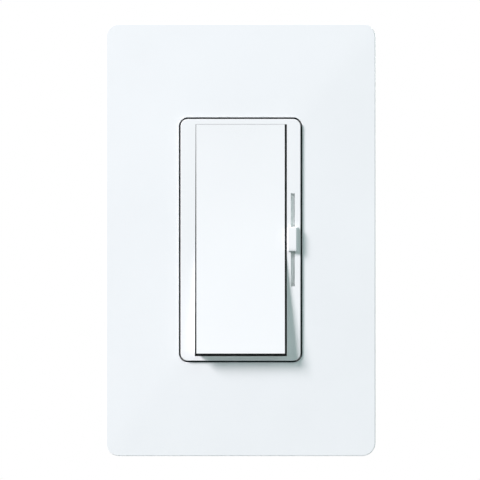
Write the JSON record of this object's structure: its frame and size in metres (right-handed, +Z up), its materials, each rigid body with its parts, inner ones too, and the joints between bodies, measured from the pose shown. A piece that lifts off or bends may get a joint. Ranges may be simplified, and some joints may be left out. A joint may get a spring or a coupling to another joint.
{
  "type": "fan speed control",
  "caption": "Wall fan speed control with a rocking on/off paddle, a small speed slide beside it, a clip-on wall plate and a screw-terminal back box.",
  "frame": {"origin": "middle of the control on the wall surface, between the two screws that go into the wall box", "axes": "+X to the right of the front view, +Y back into the wall, +Z up"},
  "size_m": [0.0746, 0.043, 0.119],
  "materials": {
    "plate_white": "satin",
    "control_white": "satin",
    "frame_black": "matte",
    "runner_white": "matte",
    "natural_plastic": "matte",
    "black_plastic": "matte",
    "zinc_steel": "satin",
    "spring_steel": "satin",
    "yoke_aluminium": "brushed",
    "green_screw": "satin",
    "red_fibre": "matte",
    "fish_paper": "matte",
    "board_tan": "matte",
    "contact_brass": "satin",
    "screw_brass": "satin",
    "contact_silver": "satin",
    "capacitor_yellow": "satin",
    "resistor_body": "matte"
  },
  "bodies": {
    "housing": {"wallplate": "plate_white", "adapter_plate": "frame_black", "adapter_screws": "zinc_steel", "bezel": "control_white", "yoke": "yoke_aluminium", "mounting_screws": "zinc_steel", "screw_retainers": "red_fibre", "ground_screw": "green_screw", "back_cover": "black_plastic", "housing_screws": "zinc_steel", "insulator_sheet": "fish_paper", "circuit_board": "board_tan", "speed_contacts": "contact_brass", "low_speed_capacitor": "capacitor_yellow", "medium_speed_capacitor": "capacitor_yellow", "bleed_resistors": "resistor_body", "common_terminal": "contact_brass", "load_terminal": "contact_brass", "terminal_screws": "screw_brass", "clamp_plates": "zinc_steel", "fixed_contact": "contact_silver", "contact_strip": "contact_brass"},
    "rocker": {"paddle": "control_white", "plunger": "natural_plastic", "plunger_spring": "spring_steel"},
    "speed_slide": {"slider_tab": "control_white", "slider_carriage": "runner_white", "wiper_contact": "contact_brass"},
    "see_saw": {"contact_arm": "contact_brass", "moving_contact": "contact_silver"}
  },
  "joints": [
    {"name": "paddle_rock", "type": "hinge", "parent": "housing", "child": "rocker", "pos_m": [0, -0.0048, 0], "axis": [1, 0, 0], "range_deg": [0, 4.6]},
    {"name": "speed_travel", "type": "slide", "parent": "housing", "child": "speed_slide", "axis": [0, 0, 1], "range_m": [-0.0094, 0.009]},
    {"name": "arm_tip", "type": "hinge", "parent": "housing", "child": "see_saw", "pos_m": [0, 0.015, 0], "axis": [1, 0, 0], "range_deg": [-9.2, 0]}
  ],
  "couplings": [
    {"joint": "arm_tip", "follows": "paddle_rock", "ratio": -2}
  ]
}
